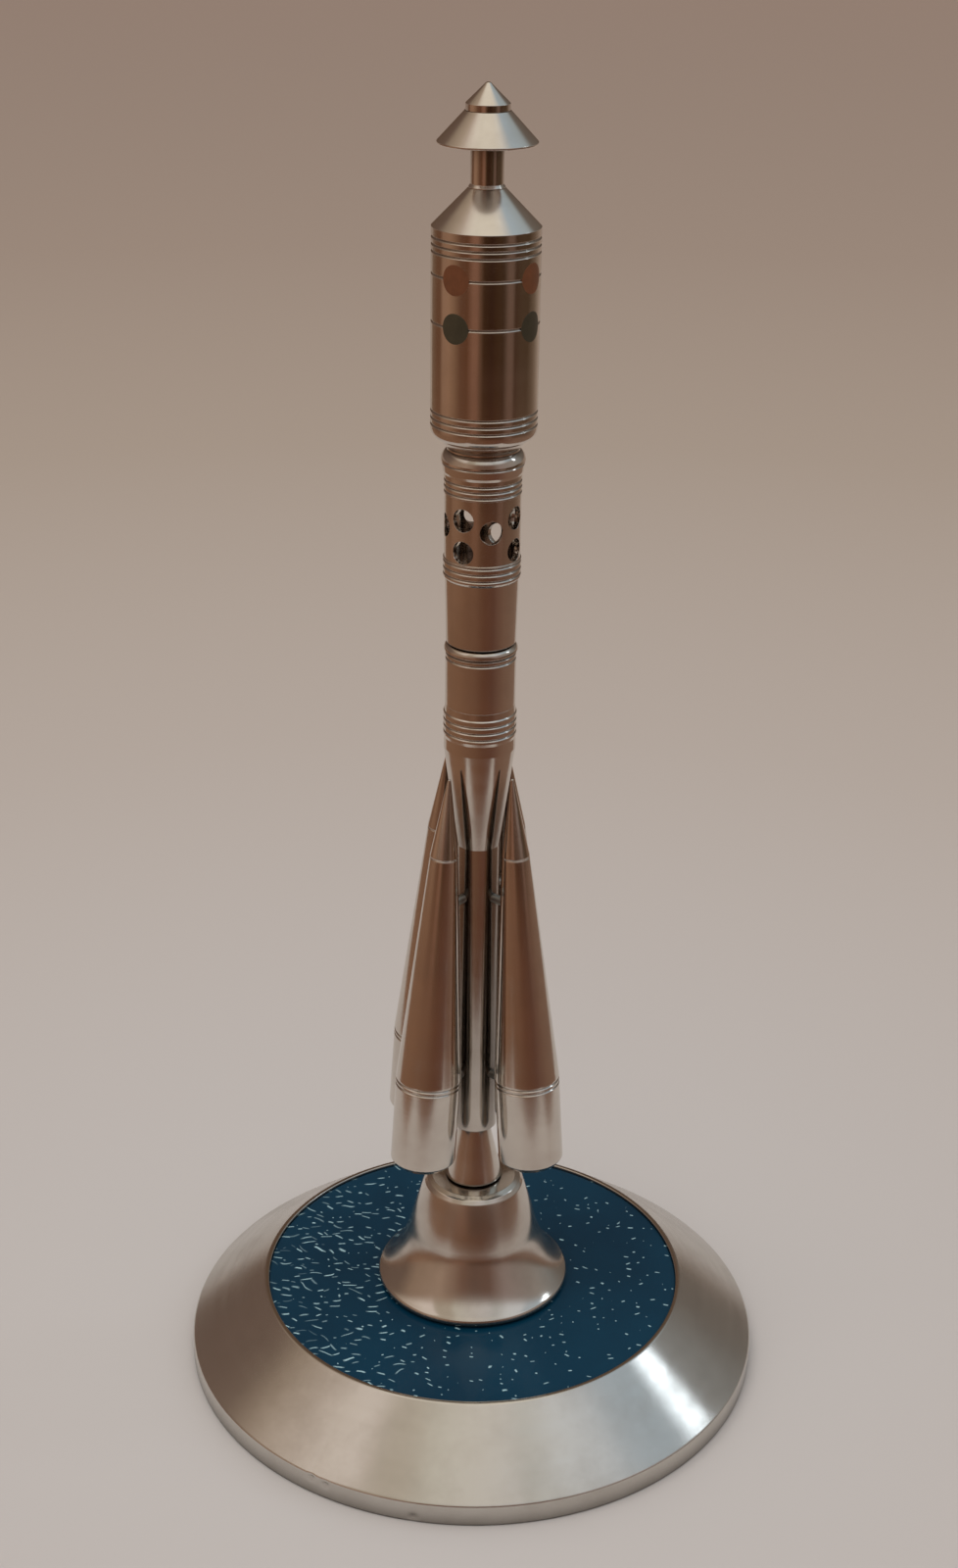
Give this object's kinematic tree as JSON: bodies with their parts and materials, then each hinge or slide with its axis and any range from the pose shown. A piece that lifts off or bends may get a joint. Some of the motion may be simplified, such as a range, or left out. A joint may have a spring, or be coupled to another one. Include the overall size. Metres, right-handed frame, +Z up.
{
  "type": "desk model rocket",
  "caption": "Turned metal desk model of a rocket with strap-on boosters, vented interstage and capped nose, on a bell pedestal and a bevelled round base with a blue inlay.",
  "frame": {"origin": "centre of the base's underside, on the table", "axes": "+Z up along the rocket's axis, -Y towards the viewer, +X to the viewer's right"},
  "size_m": [0.13, 0.13, 0.2845],
  "materials": {
    "turned_aluminium": "polished on the lathe",
    "brushed_aluminium": "satin, brushed round",
    "pearl_plastic": "gloss, pearl flakes",
    "green_felt": "matt felt",
    "zinc_steel": "zinc plated",
    "orange_enamel": "satin enamel",
    "green_enamel": "satin enamel"
  },
  "bodies": {
    "stand": {"base_plate": "brushed_aluminium", "blue_disc": "pearl_plastic", "felt_pad": "green_felt", "base_screw": "zinc_steel", "base_washer": "zinc_steel", "pedestal": "turned_aluminium"},
    "rocket_stud": {"tail_stud": "zinc_steel"},
    "rocket": {"tail_cone": "turned_aluminium", "core_stage": "turned_aluminium", "booster_front_right": "turned_aluminium", "booster_rear_right": "turned_aluminium", "booster_rear_left": "turned_aluminium", "booster_front_left": "turned_aluminium", "upper_dowels": "zinc_steel", "lower_dowels": "zinc_steel", "interstage": "turned_aluminium"},
    "upper_stud": {"stage_stud": "zinc_steel"},
    "upper": {"upper_stage": "turned_aluminium", "vented_tube": "turned_aluminium", "collar": "turned_aluminium"},
    "fairing_stud": {"nose_stud": "zinc_steel"},
    "nose": {"fairing": "turned_aluminium", "orange_dot_1": "orange_enamel", "orange_dot_2": "orange_enamel", "orange_dot_3": "orange_enamel", "orange_dot_4": "orange_enamel", "green_dot_1": "green_enamel", "green_dot_2": "green_enamel", "green_dot_3": "green_enamel", "green_dot_4": "green_enamel", "stem": "turned_aluminium", "cap": "turned_aluminium", "finial": "turned_aluminium"}
  },
  "joints": [
    {"name": "rocket_lift", "type": "slide", "parent": "stand", "child": "rocket_stud", "axis": [0, 0, 1], "range_m": [0, 0.007]},
    {"name": "rocket_turn", "type": "hinge", "parent": "rocket_stud", "child": "rocket", "pos_m": [0, 0, 0], "axis": [0, 0, 1], "range_deg": [0, 3600]},
    {"name": "upper_lift", "type": "slide", "parent": "rocket", "child": "upper_stud", "axis": [0, 0, 1], "range_m": [0, 0.007]},
    {"name": "upper_turn", "type": "hinge", "parent": "upper_stud", "child": "upper", "pos_m": [0, 0, 0], "axis": [0, 0, 1], "range_deg": [0, 3600]},
    {"name": "nose_lift", "type": "slide", "parent": "upper", "child": "fairing_stud", "axis": [0, 0, 1], "range_m": [0, 0.007]},
    {"name": "nose_turn", "type": "hinge", "parent": "fairing_stud", "child": "nose", "pos_m": [0, 0, 0], "axis": [0, 0, 1], "range_deg": [0, 3600]}
  ],
  "couplings": [
    {"joint": "rocket_turn", "follows": "rocket_lift", "rad_per_m": 8976},
    {"joint": "upper_turn", "follows": "upper_lift", "rad_per_m": 8976},
    {"joint": "nose_turn", "follows": "nose_lift", "rad_per_m": 8976}
  ]
}
